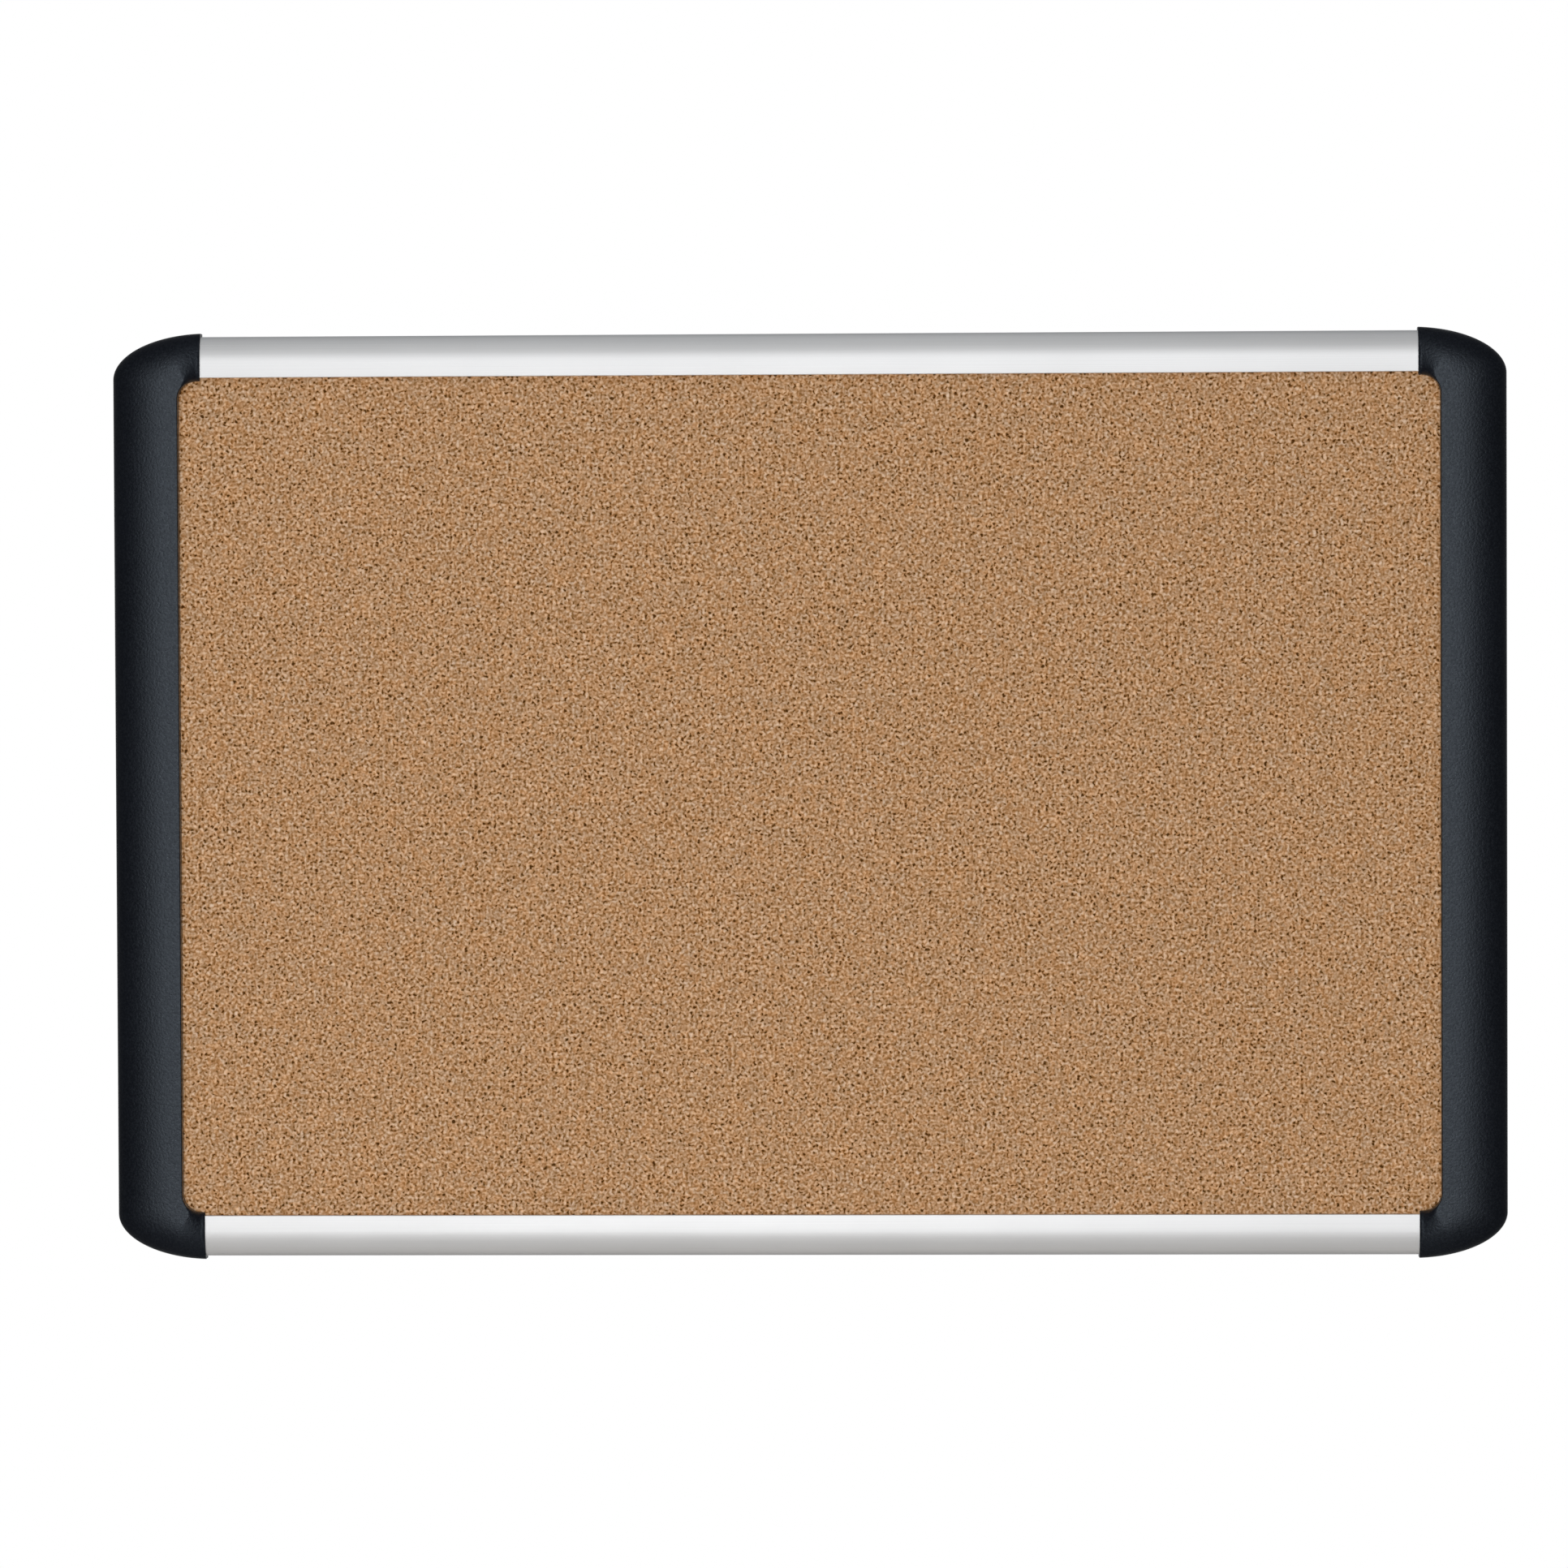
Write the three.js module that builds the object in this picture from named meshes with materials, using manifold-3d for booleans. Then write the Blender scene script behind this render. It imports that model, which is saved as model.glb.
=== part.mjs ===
// Wall-hung cork bulletin board, 36 x 24 in nominal: a cork, fibreboard and paper panel held by two aluminium
// rails and two moulded side covers, joined at the corners by steel keys and hung on two sliding hanger plates.
// Millimetres. X runs across the board, Y from the room into the wall, Z up, so the cork faces -Y.
// The origin is the middle of the top rail's rear face, on the wall plane.
import * as THREE from "three";
import { mergeVertices } from "three/addons/utils/BufferGeometryUtils.js";
import Module from "manifold-3d";

const wasm = await Module();
wasm.setup();

// ---- Driving dimensions ----
const WIDTH = 914; // over the side covers
const HEIGHT = 610; // over the tips of the side covers
const CREST_Y = -25; // front of the side covers; the wall plane is y = 0

// Rails. "In" is measured from a rail's outer edge towards the middle of the board.
const RAIL_OUTER_Z = 302.75; // outer edge of the top rail above the board's centre
const RAIL_FACE = 27.25; // height of the face seen from the front
const RAIL_FRONT_Y = -19;
const RAIL_WALL = 1.5;
const RAIL_SIDE_DEPTH = 8.5; // flat outer side, before the face starts to curve
const RAIL_CROWN = 17.5; // width of the curved part of the face
const RAIL_EDGE_RADIUS = 0.75;
const RAIL_REAR_LEG_IN = 26;
const RAIL_END_X = 411;
const HANG_SLOT = { from: 1.5, to: 18.5, openFrom: 3.5, openTo: 16.5, lip: 1.5, floor: 7.5 };

// Panel, from the wall side to the front.
const PANEL_REAR_Y = -2.25;
const LINER_THICKNESS = 1;
const CORE_THICKNESS = 9;
const CORK_THICKNESS = 4;
const PANEL_HALF_X = 423;
const PANEL_HALF_Z = 282.5;
const PANEL_SLOT = { frontY: -16.5, rearY: -2, in: 20 };
const PANEL_GAP = 0.5; // between the panel's edge and a cover

// Side covers. "S" is measured from a cover's outer side towards the middle of the board.
const COVER_WIDTH = 44;
const COVER_ARM = 58.25; // reach of the arms that sleeve the rail ends
const COVER_LAP = 2.25; // how far an arm stands out round the rail
const COVER_EDGE_Y = -10; // where the outer side turns into the crown
const COVER_LIP_Y = -16.375; // rear of the inner lip, just clear of the cork
const ARM_DROP = 3.75; // how much lower an arm is at its end than the side's crest
const ARM_SLOPE_S = 30; // where an arm starts to slope down
const ARM_SLOPE_POWER = 1.5; // 1 is a straight slope
const CROWN_SHARE = { arm: 0.66, side: 0.8 }; // how far across a cover its crest is reached
const ROUND_WIDTH = { arm: 8.5, side: 0.75 }; // rounding of the edge towards the cork
const ROUND_DEPTH = { arm: 4.6, side: 0.75 };
const SKIN = { arm: 3.5, side: 2.25 }; // thicker on the arms, where the rail's space is cut out of it
const EARLY_TURN = 1.6; // the rounding and skin reach the side's values this many times sooner than the crown
const CORNER_A = 62; // half axes of the elliptical outer corner
const CORNER_B = 30.5;
const CORNER_INNER_RADIUS = 12;
const FIT_GAP = 0.25; // round the rails and in the slots
const RIB_THICKNESS = 1.75;
const RIB_REAR_Y = -3.75; // just in front of the corner keys
const RIB_ZS = [-238.5, -143.5, -48.5, 46.5, 141.5, 236.5]; // lower faces of the ribs
const BOSS_RADIUS = 4;
const PILOT_RADIUS = 2;
const PILOT_DEPTH_Y = -16;

// Steel parts.
const KEY_REAR_Y = -1.5;
const KEY_THICKNESS = 2;
const KEY_IN = { from: 1.75, to: 18.25 }; // leg that lies in the rail's hang slot
const KEY_RAIL_END_S = 92;
const KEY_LEG = { fromS: 17.5, toS: 30.5, lowZ: 234, corner: 3, aboveSlot: 3.5 };
const KEY_CUT = { s: 50, in: 6.5, tip: 2 }; // the slanted outer corner, and the chamfered tip of the rail leg
const KEY_SCREW_S = 24;
const KEY_SCREW_ZS = [272, 246];
const KEY_HOLE_RADIUS = 2.25;
const GRUB_S = 72;
const GRUB = { radius: 1.75, point: 1, cone: 0.75, sunk: 0.25 };
const CLIP = { fromS: 18, toS: 44, halfZ: 9, thickness: 1, corner: 3 };
const CLIP_ZS = [-190, 0, 190];
const HANGER = { x: 203, halfLength: 25, thickness: 1.5, rearY: -1.75, corner: 1.5 };
const KEYHOLE = { radius: 4.25, slotRadius: 2.25, low: -2.25, high: 3 };
const SCREW = { shank: 1.75, head: 3.5, headHeight: 1.125, length: 12, tip: 2.5 };

const ORIGIN_Z = RAIL_OUTER_Z - 21.25; // middle of the flat strip under the hang slot
const ROUND_SEGMENTS = 12;
const RAIL_SEGMENTS = 10;
const CORNER_STATIONS = 13;
const CUT_PAST = 1; // how far a cut runs past what it cuts

// ---- Materials ----
const material = (color, roughness, metalness) => new THREE.MeshStandardMaterial({ color, roughness, metalness });
const CORK = material(0xaa835f, 0.9, 0);
const FIBREBOARD = material(0x9a8468, 0.95, 0);
const LINER = material(0xb9a27e, 0.85, 0);
const ALUMINIUM = material(0xd6d8da, 0.35, 1);
const PLASTIC = material(0x1c2026, 0.5, 0);
const ZINC = material(0xb4b7b8, 0.4, 1);
const SCREW_STEEL = material(0x9a9da0, 0.3, 1);

// ---- Geometry helpers ----
const ALONG_X = new THREE.Matrix4().makeBasis(
  new THREE.Vector3(0, 1, 0),
  new THREE.Vector3(0, 0, 1),
  new THREE.Vector3(1, 0, 0),
);

// A (y, z) outline extruded from x0 to x1.
function extrudeAlongX(shape, x0, x1, curveSegments) {
  const geometry = new THREE.ExtrudeGeometry(shape, { depth: x1 - x0, bevelEnabled: false, curveSegments });
  return geometry.applyMatrix4(ALONG_X).translate(x0, 0, 0);
}

// An (x, z) outline as a plate whose rear face is at rearY.
function plate(shape, rearY, thickness, curveSegments = 4) {
  const geometry = new THREE.ExtrudeGeometry(shape, { depth: thickness, bevelEnabled: false, curveSegments });
  return geometry.rotateX(Math.PI / 2).translate(0, rearY, 0);
}

function box(x0, x1, y0, y1, z0, z1) {
  const geometry = new THREE.BoxGeometry(x1 - x0, y1 - y0, z1 - z0);
  return geometry.translate((x0 + x1) / 2, (y0 + y1) / 2, (z0 + z1) / 2);
}

function cylinderY(radius, y0, y1, x, z) {
  const geometry = new THREE.CylinderGeometry(radius, radius, y1 - y0, ROUND_SEGMENTS);
  return geometry.translate(x, (y0 + y1) / 2, z);
}

function roundedRectangle(x0, x1, z0, z1, r) {
  const shape = new THREE.Shape();
  shape.moveTo(x0 + r, z0);
  shape.lineTo(x1 - r, z0).absarc(x1 - r, z0 + r, r, -Math.PI / 2, 0);
  shape.lineTo(x1, z1 - r).absarc(x1 - r, z1 - r, r, 0, Math.PI / 2);
  shape.lineTo(x0 + r, z1).absarc(x0 + r, z1 - r, r, Math.PI / 2, Math.PI);
  shape.lineTo(x0, z0 + r).absarc(x0 + r, z0 + r, r, Math.PI, 1.5 * Math.PI);
  return shape;
}

function circle(x, z, radius) {
  return new THREE.Path().absarc(x, z, radius, 0, 2 * Math.PI, true);
}

function solid(geometry) {
  const bare = geometry.clone();
  bare.deleteAttribute("normal");
  bare.deleteAttribute("uv");
  const merged = mergeVertices(bare, 1e-4);
  const vertProperties = merged.attributes.position.array;
  const triVerts = new Uint32Array(merged.index.array);
  return new wasm.Manifold(new wasm.Mesh({ numProp: 3, vertProperties, triVerts }));
}

function geometryOf(manifold) {
  const made = manifold.getMesh();
  const geometry = new THREE.BufferGeometry();
  geometry.setAttribute("position", new THREE.BufferAttribute(made.vertProperties, 3));
  geometry.setIndex(new THREE.BufferAttribute(made.triVerts, 1));
  geometry.computeVertexNormals();
  return geometry;
}

// Joins equal closed loops of 3-D points into a solid, with a flat cap at each end.
function loft(loops, capOutline) {
  const count = loops[0].length;
  const positions = loops.flat().flatMap((p) => [p.x, p.y, p.z]);
  const indices = [];
  for (let i = 0; i + 1 < loops.length; i++) {
    for (let j = 0; j < count; j++) {
      const a = i * count + j;
      const b = i * count + ((j + 1) % count);
      indices.push(a, b, b + count, a, b + count, a + count);
    }
  }
  const last = (loops.length - 1) * count;
  for (const [a, b, c] of THREE.ShapeUtils.triangulateShape(capOutline, [])) {
    indices.push(a, c, b, last + a, last + b, last + c);
  }
  const geometry = new THREE.BufferGeometry();
  geometry.setAttribute("position", new THREE.Float32BufferAttribute(positions, 3));
  geometry.setIndex(indices);
  return geometry;
}

// ---- Panel ----
function panelLayer(rearY, thickness) {
  return box(-PANEL_HALF_X, PANEL_HALF_X, rearY - thickness, rearY, -PANEL_HALF_Z, PANEL_HALF_Z);
}

// ---- Rails ----
// The top rail's outline in (y, z), grown by gap; the bottom rail is the same section turned over.
function railFacePath(shape, gap) {
  const outer = RAIL_OUTER_Z + gap;
  const front = RAIL_FRONT_Y - gap;
  const inner = RAIL_OUTER_Z - RAIL_FACE - gap;
  const crownZ = RAIL_OUTER_Z - RAIL_CROWN;
  shape.moveTo(0, outer).lineTo(-RAIL_SIDE_DEPTH, outer);
  shape.absellipse(-RAIL_SIDE_DEPTH, crownZ, -RAIL_SIDE_DEPTH - front, outer - crownZ, Math.PI / 2, Math.PI);
  shape.lineTo(front, inner + RAIL_EDGE_RADIUS);
  shape.absarc(front + RAIL_EDGE_RADIUS, inner + RAIL_EDGE_RADIUS, RAIL_EDGE_RADIUS, Math.PI, 1.5 * Math.PI);
  return shape;
}

function railSection() {
  const at = (inward) => RAIL_OUTER_Z - inward;
  const slot = HANG_SLOT;
  const shape = railFacePath(new THREE.Shape(), 0);
  const outline = [
    [PANEL_SLOT.frontY, at(RAIL_FACE)],
    [PANEL_SLOT.frontY, at(PANEL_SLOT.in)],
    [PANEL_SLOT.rearY, at(PANEL_SLOT.in)],
    [PANEL_SLOT.rearY, at(RAIL_REAR_LEG_IN)],
    [0, at(RAIL_REAR_LEG_IN)],
    [0, at(slot.openTo)],
    [-slot.lip, at(slot.openTo)],
    [-slot.lip, at(slot.to)],
    [-slot.floor, at(slot.to)],
    [-slot.floor, at(slot.from)],
    [-slot.lip, at(slot.from)],
    [-slot.lip, at(slot.openFrom)],
    [0, at(slot.openFrom)],
  ];
  outline.forEach(([y, z]) => shape.lineTo(y, z));

  // Hollow chamber behind the face.
  const chamberRear = -slot.floor - RAIL_WALL;
  const radiusY = -RAIL_FRONT_Y - RAIL_SIDE_DEPTH - RAIL_WALL;
  const start = Math.PI / 2 + Math.asin((-chamberRear - RAIL_SIDE_DEPTH) / radiusY);
  const chamber = new THREE.Path();
  chamber.absellipse(-RAIL_SIDE_DEPTH, at(RAIL_CROWN), radiusY, RAIL_CROWN - RAIL_WALL, start, Math.PI);
  chamber.lineTo(RAIL_FRONT_Y + RAIL_WALL, at(slot.to)).lineTo(chamberRear, at(slot.to));
  shape.holes.push(chamber);
  return shape;
}

function railGeometry() {
  return extrudeAlongX(railSection(), -RAIL_END_X, RAIL_END_X, RAIL_SEGMENTS);
}

// The rail's space in a cover's arm, with the fitting gap all round.
function railEnvelope(x0, x1) {
  const shape = railFacePath(new THREE.Shape(), FIT_GAP);
  shape.lineTo(CUT_PAST, RAIL_OUTER_Z - RAIL_FACE - FIT_GAP).lineTo(CUT_PAST, RAIL_OUTER_Z + FIT_GAP);
  return extrudeAlongX(shape, x0, x1, RAIL_SEGMENTS);
}

// ---- Side covers ----
const HALF_W = WIDTH / 2;
const CORNER_Z = HEIGHT / 2 - CORNER_B; // where the outer corner starts
const ARM_INNER_Z = RAIL_OUTER_Z - RAIL_FACE - COVER_LAP;
const PIVOT = new THREE.Vector2(COVER_WIDTH + CORNER_INNER_RADIUS, ARM_INNER_Z - CORNER_INNER_RADIUS);

// Stations from the top arm's end round the corner to the side, each a line across the cover from its outer
// to its inner outline, in (s, z). turn is 0 on the arm and 1 on the side.
function coverStations() {
  const angleAt = (s) => Math.acos(1 - s / CORNER_A);
  const onEllipse = (a) => new THREE.Vector2(CORNER_A * (1 - Math.cos(a)), CORNER_Z + CORNER_B * Math.sin(a));
  const angles = [angleAt(COVER_ARM)];
  for (let i = CORNER_STATIONS; i >= 0; i--) {
    angles.push((angleAt(PIVOT.x) * i) / CORNER_STATIONS);
  }
  const outers = angles.map(onEllipse);
  outers.push(new THREE.Vector2(0, (CORNER_Z + PIVOT.y) / 2), new THREE.Vector2(0, PIVOT.y));
  return outers.map((outer) => {
    if (outer.x >= PIVOT.x - 1e-6) {
      return { outer, inner: new THREE.Vector2(outer.x, ARM_INNER_Z), turn: 0 };
    }
    const ray = outer.clone().sub(PIVOT).normalize();
    const inner = PIVOT.clone().addScaledVector(ray, CORNER_INNER_RADIUS);
    return { outer, inner, turn: 1 - Math.atan2(ray.y, -ray.x) / (Math.PI / 2) };
  });
}

// A cover's sizes at a station: from an arm's values to the side's, early in the corner or all the way round it.
function coverSizes({ outer, inner, turn }) {
  const smooth = (t) => t * t * (3 - 2 * t);
  const between = ({ arm, side }, t) => arm + (side - arm) * smooth(t);
  const early = Math.min(1, turn * EARLY_TURN);
  const slope = Math.max(0, (outer.x - ARM_SLOPE_S) / (COVER_ARM - ARM_SLOPE_S));
  return {
    length: outer.distanceTo(inner),
    crestY: CREST_Y + ARM_DROP * Math.pow(Math.min(1, slope), ARM_SLOPE_POWER),
    crown: between(CROWN_SHARE, turn),
    roundWidth: between(ROUND_WIDTH, early),
    roundDepth: between(ROUND_DEPTH, early),
    skin: between(SKIN, early),
  };
}

// The cover's cross-section at a station, as [share of the way from the outer to the inner outline, y].
function coverProfile(station) {
  const { length, crestY, crown, roundWidth, roundDepth } = coverSizes(station);
  const points = [[0, 0]];
  const crownSteps = 8;
  for (let i = 0; i <= crownSteps; i++) {
    const a = (i / crownSteps) * (Math.PI / 2);
    points.push([crown * (1 - Math.cos(a)), COVER_EDGE_Y + (crestY - COVER_EDGE_Y) * Math.sin(a)]);
  }
  const roundSteps = 4;
  for (let i = 0; i <= roundSteps; i++) {
    const a = (i / roundSteps) * (Math.PI / 2);
    points.push([1 - (roundWidth / length) * (1 - Math.sin(a)), crestY + roundDepth * (1 - Math.cos(a))]);
  }
  points.push([1, 0]);
  return points;
}

// The hollow behind the cover's skin.
function cavityProfile(station) {
  const { length, crestY, crown, skin } = coverSizes(station);
  const share = skin / length;
  const points = [[share, CUT_PAST]];
  const steps = 6;
  for (let i = 0; i <= steps; i++) {
    const a = (i / steps) * (Math.PI / 2);
    const y = COVER_EDGE_Y + (crestY + skin - COVER_EDGE_Y) * Math.sin(a);
    points.push([share + (crown - share) * (1 - Math.cos(a)), y]);
  }
  points.push([1 - share, crestY + skin], [1 - share, CUT_PAST]);
  return points;
}

function coverLoft(profileAt, armOverrun) {
  const top = coverStations();
  top[0].outer.x += armOverrun;
  top[0].inner.x += armOverrun;
  const flip = (v) => new THREE.Vector2(v.x, -v.y);
  const bottom = top.map((s) => ({ ...s, outer: flip(s.outer), inner: flip(s.inner) })).reverse();
  const loops = [...top, ...bottom].map((station) =>
    profileAt(station).map(([share, y]) => {
      const p = station.outer.clone().lerp(station.inner, share);
      return new THREE.Vector3(HALF_W - p.x, y, p.y);
    }),
  );
  const { length } = coverSizes(top[0]);
  const cap = profileAt(top[0]).map(([share, y]) => new THREE.Vector2(share * length, y));
  return solid(loft(loops, cap));
}

// The right side cover; the left one is the same moulding turned over.
function coverGeometry() {
  const full = coverLoft(coverProfile, 0);
  const cavity = coverLoft(cavityProfile, CUT_PAST);
  const atS = (s) => HALF_W - s;
  const top = HEIGHT / 2;

  const slabs = RIB_ZS.map((z) => box(atS(COVER_WIDTH), HALF_W, CREST_Y, RIB_REAR_Y, z, z + RIB_THICKNESS));
  const stopX = RAIL_END_X + FIT_GAP; // ribs that the rail ends stop against
  slabs.push(box(stopX, stopX + RIB_THICKNESS, CREST_Y, RIB_REAR_Y, ARM_INNER_Z, top));
  slabs.push(box(stopX, stopX + RIB_THICKNESS, CREST_Y, RIB_REAR_Y, -top, -ARM_INNER_Z));

  const bosses = [];
  const pilots = [];
  const addBoss = (s, z, rearY) => {
    bosses.push(cylinderY(BOSS_RADIUS, CREST_Y, rearY, atS(s), z));
    pilots.push(cylinderY(PILOT_RADIUS, PILOT_DEPTH_Y, CUT_PAST, atS(s), z));
  };
  CLIP_ZS.forEach((z) => addBoss(KEY_SCREW_S, z, PANEL_REAR_Y));
  KEY_SCREW_ZS.forEach((z) => [-1, 1].forEach((sign) => addBoss(KEY_SCREW_S, sign * z, KEY_REAR_Y - KEY_THICKNESS)));

  let inside = solid(slabs[0]);
  [...slabs.slice(1), ...bosses].forEach((g) => (inside = inside.add(solid(g))));
  let cover = full.subtract(cavity).add(inside.intersect(full));

  const panelX = PANEL_HALF_X + PANEL_GAP;
  const panelZ = PANEL_HALF_Z + PANEL_GAP;
  cover = cover.subtract(solid(box(0, panelX, COVER_LIP_Y, CUT_PAST, -panelZ, panelZ)));
  const envelope = solid(railEnvelope(0, stopX));
  cover = cover.subtract(envelope).subtract(envelope.rotate([0, 180, 0]).translate([stopX, 0, 0]));
  pilots.forEach((g) => (cover = cover.subtract(solid(g))));
  return geometryOf(cover);
}

// ---- Corner keys, drawn for the top right corner ----
function keyShape() {
  const atS = (s) => HALF_W - s;
  const topZ = RAIL_OUTER_Z - KEY_IN.from;
  const lowZ = RAIL_OUTER_Z - KEY_IN.to;
  const railX = atS(KEY_RAIL_END_S);
  const { fromS, toS, corner, aboveSlot } = KEY_LEG;
  const footZ = KEY_LEG.lowZ;
  const shape = new THREE.Shape();
  shape.moveTo(railX, lowZ).lineTo(atS(toS), lowZ).lineTo(atS(toS), footZ + corner);
  shape.quadraticCurveTo(atS(toS), footZ, atS(toS - corner), footZ).lineTo(atS(fromS + corner), footZ);
  shape.quadraticCurveTo(atS(fromS), footZ, atS(fromS), footZ + corner).lineTo(atS(fromS), lowZ + aboveSlot);
  shape.lineTo(atS(toS), RAIL_OUTER_Z - KEY_CUT.in).lineTo(atS(KEY_CUT.s), topZ);
  shape.lineTo(railX + KEY_CUT.tip, topZ).lineTo(railX, topZ - KEY_CUT.tip);
  KEY_SCREW_ZS.forEach((z) => shape.holes.push(circle(atS(KEY_SCREW_S), z, KEY_HOLE_RADIUS)));
  shape.holes.push(circle(atS(GRUB_S), (topZ + lowZ) / 2, KEY_HOLE_RADIUS));
  return shape;
}

// ---- Screws, clips and hangers ----
// A wafer-head screw along Y with the underside of its head at y = 0 and its point towards -Y.
function screwGeometry() {
  const { shank, head, headHeight, length, tip } = SCREW;
  const profile = [
    [0, -length],
    [shank, -length + tip],
    [shank, 0],
    [head, 0],
    [head, headHeight * 0.5],
    [head * 0.65, headHeight],
    [0, headHeight],
  ].map(([r, y]) => new THREE.Vector2(r, y));
  return new THREE.LatheGeometry(profile, ROUND_SEGMENTS);
}

function grubGeometry() {
  const rear = KEY_REAR_Y - GRUB.sunk;
  const front = -HANG_SLOT.floor;
  const profile = [
    [0, front],
    [GRUB.point, front],
    [GRUB.radius, front + GRUB.cone],
    [GRUB.radius, rear],
    [0, rear],
  ].map(([r, y]) => new THREE.Vector2(r, y));
  return new THREE.LatheGeometry(profile, ROUND_SEGMENTS);
}

function hangerShape() {
  const half = (KEY_IN.to - KEY_IN.from) / 2;
  const length = HANGER.halfLength;
  const shape = roundedRectangle(-length, length, -half, half, HANGER.corner);
  const { radius, slotRadius, low, high } = KEYHOLE;
  const join = Math.asin(slotRadius / radius);
  const keyhole = new THREE.Path();
  keyhole.absarc(0, high, slotRadius, 0, Math.PI, false);
  keyhole.absarc(0, low, radius, Math.PI / 2 + join, Math.PI / 2 - join + 2 * Math.PI, false);
  shape.holes.push(keyhole);
  return shape;
}

// ---- Assembly ----
const board = new THREE.Group();
board.position.z = -ORIGIN_Z;

function add(name, geometry, look, x = 0, y = 0, z = 0, parent = board) {
  const mesh = new THREE.Mesh(geometry, look);
  mesh.name = name;
  mesh.position.set(x, y, z);
  parent.add(mesh);
  return mesh;
}

add("back_liner", panelLayer(PANEL_REAR_Y, LINER_THICKNESS), LINER);
add("fibreboard_core", panelLayer(PANEL_REAR_Y - LINER_THICKNESS, CORE_THICKNESS), FIBREBOARD);
add("cork_sheet", panelLayer(PANEL_REAR_Y - LINER_THICKNESS - CORE_THICKNESS, CORK_THICKNESS), CORK);

add("top_rail", railGeometry(), ALUMINIUM);
add("bottom_rail", railGeometry(), ALUMINIUM).rotation.y = Math.PI;

const cover = coverGeometry();
add("right_side_cover", cover, PLASTIC);
add("left_side_cover", cover, PLASTIC).rotation.y = Math.PI;

const key = plate(keyShape(), KEY_REAR_Y, KEY_THICKNESS);
const screw = screwGeometry();
const grub = grubGeometry();
for (const [vertical, signZ] of [["top", 1], ["bottom", -1]]) {
  for (const [side, signX] of [["left", -1], ["right", 1]]) {
    const corner = new THREE.Group();
    corner.scale.set(signX, 1, signZ);
    board.add(corner);
    const place = `${vertical}_${side}`;
    add(`corner_key_${place}`, key, ZINC, 0, 0, 0, corner);
    const grubZ = RAIL_OUTER_Z - (KEY_IN.from + KEY_IN.to) / 2;
    add(`key_grub_screw_${place}`, grub, SCREW_STEEL, HALF_W - GRUB_S, 0, grubZ, corner);
    KEY_SCREW_ZS.forEach((z, i) => {
      add(`key_screw_${place}_${i + 1}`, screw, SCREW_STEEL, HALF_W - KEY_SCREW_S, KEY_REAR_Y, z, corner);
    });
  }
}

for (const [side, sign] of [["left", -1], ["right", 1]]) {
  CLIP_ZS.forEach((z, i) => {
    const half = (CLIP.toS - CLIP.fromS) / 2;
    const shape = roundedRectangle(-half, half, -CLIP.halfZ, CLIP.halfZ, CLIP.corner);
    const fromCentre = (CLIP.toS + CLIP.fromS) / 2 - KEY_SCREW_S;
    shape.holes.push(circle(sign * fromCentre, 0, KEY_HOLE_RADIUS));
    const clip = plate(shape, PANEL_REAR_Y + CLIP.thickness, CLIP.thickness);
    add(`panel_clip_${side}_${i + 1}`, clip, ZINC, sign * (HALF_W - (CLIP.toS + CLIP.fromS) / 2), 0, z);
    const screwX = sign * (HALF_W - KEY_SCREW_S);
    add(`clip_screw_${side}_${i + 1}`, screw, SCREW_STEEL, screwX, PANEL_REAR_Y + CLIP.thickness, z);
  });
  const hangerZ = RAIL_OUTER_Z - (KEY_IN.from + KEY_IN.to) / 2;
  add(`wall_hanger_${side}`, plate(hangerShape(), HANGER.rearY, HANGER.thickness), ZINC, sign * HANGER.x, 0, hangerZ);
}

export default board;
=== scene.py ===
"""Looks of the wall-hung cork bulletin board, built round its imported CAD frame.

Metres, with X across the board, Y from the room into the wall and Z up, so the cork faces -Y.
Sections and outlines are worked out in millimetres and turned into metres where a mesh is made.
"""
import math

import bmesh
import bpy
from mathutils import Matrix, Vector, noise


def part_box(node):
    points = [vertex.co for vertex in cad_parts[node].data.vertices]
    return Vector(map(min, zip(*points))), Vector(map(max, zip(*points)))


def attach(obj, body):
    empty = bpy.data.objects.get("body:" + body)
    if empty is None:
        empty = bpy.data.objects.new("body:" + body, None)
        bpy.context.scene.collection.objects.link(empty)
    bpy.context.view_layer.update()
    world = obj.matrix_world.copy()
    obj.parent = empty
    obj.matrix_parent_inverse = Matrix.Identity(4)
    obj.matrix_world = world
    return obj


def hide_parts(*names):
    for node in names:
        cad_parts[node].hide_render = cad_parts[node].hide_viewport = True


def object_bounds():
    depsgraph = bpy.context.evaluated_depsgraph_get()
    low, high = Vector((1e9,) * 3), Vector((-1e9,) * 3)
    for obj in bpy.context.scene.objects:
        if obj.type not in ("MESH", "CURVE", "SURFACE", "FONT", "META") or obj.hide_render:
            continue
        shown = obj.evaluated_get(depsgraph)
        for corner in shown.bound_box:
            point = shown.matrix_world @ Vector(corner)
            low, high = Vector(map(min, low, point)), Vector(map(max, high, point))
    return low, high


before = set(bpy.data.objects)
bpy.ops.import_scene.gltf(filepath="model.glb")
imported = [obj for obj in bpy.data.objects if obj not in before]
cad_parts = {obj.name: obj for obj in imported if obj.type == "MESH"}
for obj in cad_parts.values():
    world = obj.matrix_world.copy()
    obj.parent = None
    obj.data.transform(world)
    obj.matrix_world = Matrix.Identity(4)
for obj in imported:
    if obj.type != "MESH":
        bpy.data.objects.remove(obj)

CAD_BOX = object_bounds()
SCENE = bpy.context.scene
MM = 0.001

# ---- Sizes, in millimetres from the board's centre and the wall plane ----
CENTRE_Z = (CAD_BOX[0][2] + CAD_BOX[1][2]) / 2 / MM
HALF_W = CAD_BOX[1][0] / MM
CREST_Y = CAD_BOX[0][1] / MM


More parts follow.
